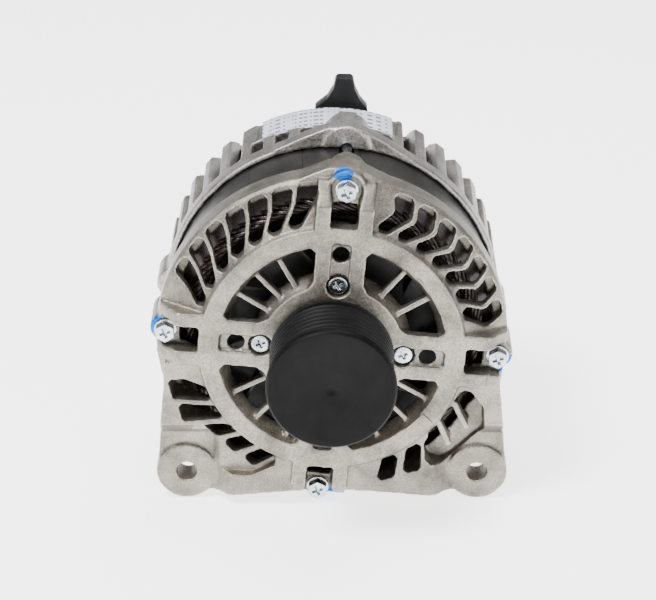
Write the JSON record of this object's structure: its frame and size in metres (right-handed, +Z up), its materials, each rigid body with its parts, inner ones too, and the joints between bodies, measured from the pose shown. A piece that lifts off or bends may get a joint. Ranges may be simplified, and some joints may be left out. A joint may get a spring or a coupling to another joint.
{
  "type": "car alternator",
  "caption": "Car alternator: slotted die-cast brackets with lower mounting lugs, bare stator core, claw-pole rotor, and a capped overrunning belt pulley.",
  "frame": {"origin": "middle of the overall width and length, on the plane that the lowest castings rest on", "axes": "+Y runs along the shaft from the pulley to the rear wall, +Z is up with the mounting lugs lowest, +X is to the right seen from the pulley"},
  "size_m": [0.1582, 0.1482, 0.1638],
  "materials": {
    "cast_aluminium": "blasted die casting",
    "lamination_steel": "varnished stacked sheet",
    "winding_enamel": "enamelled copper wire, varnished",
    "zinc_steel": "bright zinc plated",
    "bearing_steel": "ground",
    "dark_steel": "forged and turned",
    "black_plastic": "moulded, glass filled",
    "copper": "bare or enamelled copper",
    "carbon": "pressed carbon and copper",
    "black_coating": "black coated",
    "label_film": "printed film"
  },
  "bodies": {
    "housing": {"front_bracket": "cast_aluminium", "rear_bracket": "cast_aluminium", "regulator_heat_sink": "cast_aluminium", "rectifier_plate_positive": "cast_aluminium", "rectifier_plate_negative": "cast_aluminium", "stator_core": "lamination_steel", "stator_winding": "winding_enamel", "through_bolt_top": "zinc_steel", "through_bolt_left": "zinc_steel", "through_bolt_bottom": "zinc_steel", "through_bolt_right": "zinc_steel", "retainer_screw_top": "zinc_steel", "retainer_screw_left": "zinc_steel", "retainer_screw_bottom": "zinc_steel", "retainer_screw_right": "zinc_steel", "bearing_retainer": "zinc_steel", "brush_spring_front": "zinc_steel", "brush_spring_rear": "zinc_steel", "output_stud": "zinc_steel", "stud_nut": "zinc_steel", "diode_negative_1": "zinc_steel", "diode_negative_2": "zinc_steel", "diode_negative_3": "zinc_steel", "diode_positive_1": "zinc_steel", "diode_positive_2": "zinc_steel", "diode_positive_3": "zinc_steel", "front_bearing_outer_race": "bearing_steel", "rear_bearing_outer_race": "bearing_steel", "brush_holder": "black_plastic", "voltage_regulator": "black_plastic", "connector_housing": "black_plastic", "rectifier_insulator": "black_plastic", "stud_insulator": "black_plastic", "terminal_hood": "black_plastic", "connector_pin_left": "copper", "connector_pin_right": "copper", "rating_label": "label_film"},
    "rotor": {"rotor_shaft": "bearing_steel", "claw_pole_front": "dark_steel", "claw_pole_rear": "dark_steel", "coil_bobbin": "black_plastic", "field_coil": "copper", "fan_front": "zinc_steel", "fan_rear": "zinc_steel", "slip_ring_sleeve": "black_plastic", "slip_ring_front": "copper", "slip_ring_rear": "copper", "front_bearing_inner_race": "bearing_steel", "rear_bearing_inner_race": "bearing_steel", "pulley_hub": "bearing_steel", "spacer_collar": "bearing_steel", "one_way_clutch": "dark_steel"},
    "pulley": {"pulley_ring": "black_coating", "pulley_dust_cap": "black_coating", "pulley_bearing_front": "bearing_steel", "pulley_bearing_rear": "bearing_steel"},
    "front_cage": {"front_bearing_balls": "bearing_steel"},
    "rear_cage": {"rear_bearing_balls": "bearing_steel"},
    "front_brush": {"brush_front": "carbon"},
    "rear_brush": {"brush_rear": "carbon"}
  },
  "joints": [
    {"name": "rotor_spin", "type": "hinge", "parent": "housing", "child": "rotor", "pos_m": [0, 0, 0.07832], "axis": [0, 1, 0], "continuous": true},
    {"name": "pulley_overrun", "type": "hinge", "parent": "rotor", "child": "pulley", "pos_m": [0, 0, 0.07832], "axis": [0, 1, 0], "continuous": true},
    {"name": "front_cage_spin", "type": "hinge", "parent": "housing", "child": "front_cage", "pos_m": [0, 0, 0.07832], "axis": [0, 1, 0], "continuous": true},
    {"name": "rear_cage_spin", "type": "hinge", "parent": "housing", "child": "rear_cage", "pos_m": [0, 0, 0.07832], "axis": [0, 1, 0], "continuous": true},
    {"name": "front_brush_lift", "type": "slide", "parent": "housing", "child": "front_brush", "axis": [0, 0, 1], "range_m": [0, 0.004], "stiffness_N_per_m": 150, "deforming": ["brush_spring_front"]},
    {"name": "rear_brush_lift", "type": "slide", "parent": "housing", "child": "rear_brush", "axis": [0, 0, 1], "range_m": [0, 0.004], "stiffness_N_per_m": 150, "deforming": ["brush_spring_rear"]}
  ],
  "couplings": [
    {"joint": "front_cage_spin", "follows": "rotor_spin", "ratio": 0.375},
    {"joint": "rear_cage_spin", "follows": "rotor_spin", "ratio": 0.38}
  ]
}
